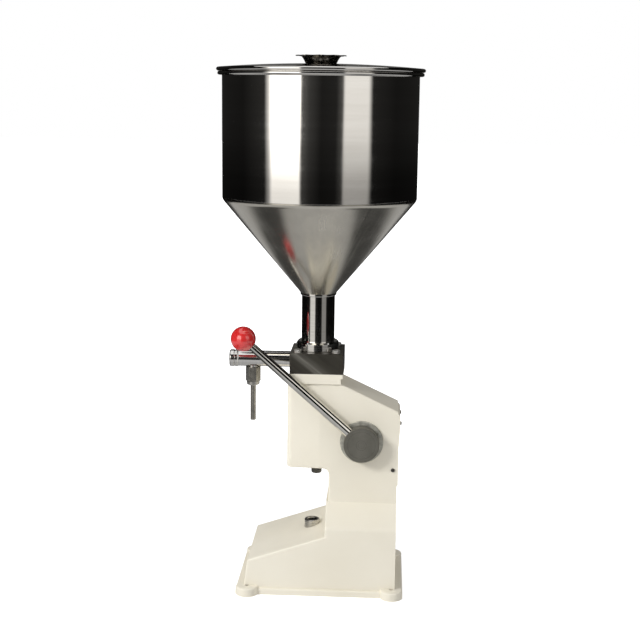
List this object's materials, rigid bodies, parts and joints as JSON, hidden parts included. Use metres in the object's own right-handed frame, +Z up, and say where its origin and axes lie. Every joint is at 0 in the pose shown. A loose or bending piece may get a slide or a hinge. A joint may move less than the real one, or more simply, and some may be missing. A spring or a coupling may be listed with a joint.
{
  "type": "liquid filling machine",
  "caption": "Hand-lever filling machine: lidded conical hopper on a ball-valve block, a piston pump in a cast housing on a ramped base, a front outlet tube with nozzle, and a side lever.",
  "frame": {"origin": "on the floor, under the axis of the hopper and pump", "axes": "+Z up, nozzle towards -Y, lever on the +X side"},
  "size_m": [0.286, 0.286, 0.75],
  "materials": {
    "cream_paint": "satin",
    "polished_steel": "polished",
    "brushed_steel": "brushed",
    "dark_steel": "satin",
    "black_steel": "satin",
    "cast_iron": "machined",
    "bronze": "machined",
    "red_plastic": "gloss",
    "seal_rubber": "matt",
    "seal_white": "matt"
  },
  "bodies": {
    "frame": {"base": "cream_paint", "foot_bolts": "dark_steel", "rest_socket": "brushed_steel", "housing": "cream_paint", "rear_cover": "cream_paint", "cover_screws": "dark_steel", "bearing_near": "brushed_steel", "bearing_far": "brushed_steel", "bush_near": "bronze", "bush_far": "bronze", "head_plate": "cream_paint", "head_bolts": "brushed_steel", "valve_block": "dark_steel", "inlet_seat": "seal_white", "inlet_spring": "polished_steel", "ball_retainer": "brushed_steel", "pump_cylinder": "polished_steel", "head_seal": "seal_rubber", "lock_nut": "black_steel", "outlet_tube": "polished_steel", "outlet_seat": "seal_white", "outlet_spring": "polished_steel", "end_cap": "polished_steel", "cap_gasket": "seal_white", "nozzle_nut": "dark_steel", "ferrule": "brushed_steel", "nozzle_tube": "polished_steel", "hopper_neck": "polished_steel", "neck_seal": "seal_rubber", "hopper_collar": "polished_steel", "hopper_cone": "polished_steel", "hopper_wall": "polished_steel"},
    "lever": {"lever_shaft": "brushed_steel", "lever_hub": "dark_steel", "hub_key": "dark_steel", "hub_set_screw": "black_steel", "crank_arm": "cast_iron", "arm_pin": "dark_steel", "lever_rod": "polished_steel", "ball_knob": "red_plastic", "shaft_washer": "brushed_steel", "shaft_clip": "dark_steel"},
    "piston": {"piston": "polished_steel", "piston_seals": "seal_white", "piston_rod": "polished_steel", "crosshead": "brushed_steel", "crosshead_pin": "brushed_steel", "pin_clips": "dark_steel"},
    "lid": {"lid": "polished_steel", "lid_knob": "polished_steel", "knob_screw": "dark_steel"},
    "stroke_screw": {"stroke_screw": "black_steel"},
    "inlet_ball": {"inlet_ball": "polished_steel"},
    "outlet_ball": {"outlet_ball": "polished_steel"}
  },
  "joints": [
    {"name": "lever_swing", "type": "hinge", "parent": "frame", "child": "lever", "pos_m": [0, 0.0652, 0.2154], "axis": [1, 0, 0], "range_deg": [0, 36]},
    {"name": "piston_stroke", "type": "slide", "parent": "frame", "child": "piston", "axis": [0, 0, 1], "range_m": [-0.0425, 0]},
    {"name": "lid_lift", "type": "slide", "parent": "frame", "child": "lid", "axis": [0, 0, 1], "range_m": [0, 0.08]},
    {"name": "stroke_screw_travel", "type": "slide", "parent": "frame", "child": "stroke_screw", "axis": [0, 0, 1], "range_m": [-0.01, 0]},
    {"name": "inlet_valve", "type": "slide", "parent": "frame", "child": "inlet_ball", "axis": [0, 0, -1], "range_m": [0, 0.003], "stiffness_N_per_m": 200, "springref_m": -0.002, "deforming": ["inlet_spring"]},
    {"name": "outlet_valve", "type": "slide", "parent": "frame", "child": "outlet_ball", "axis": [0, -1, 0], "range_m": [0, 0.004], "stiffness_N_per_m": 150, "springref_m": -0.002, "deforming": ["outlet_spring"]}
  ],
  "couplings": [
    {"joint": "piston_stroke", "follows": "lever_swing", "m_per_rad": -0.0674}
  ]
}
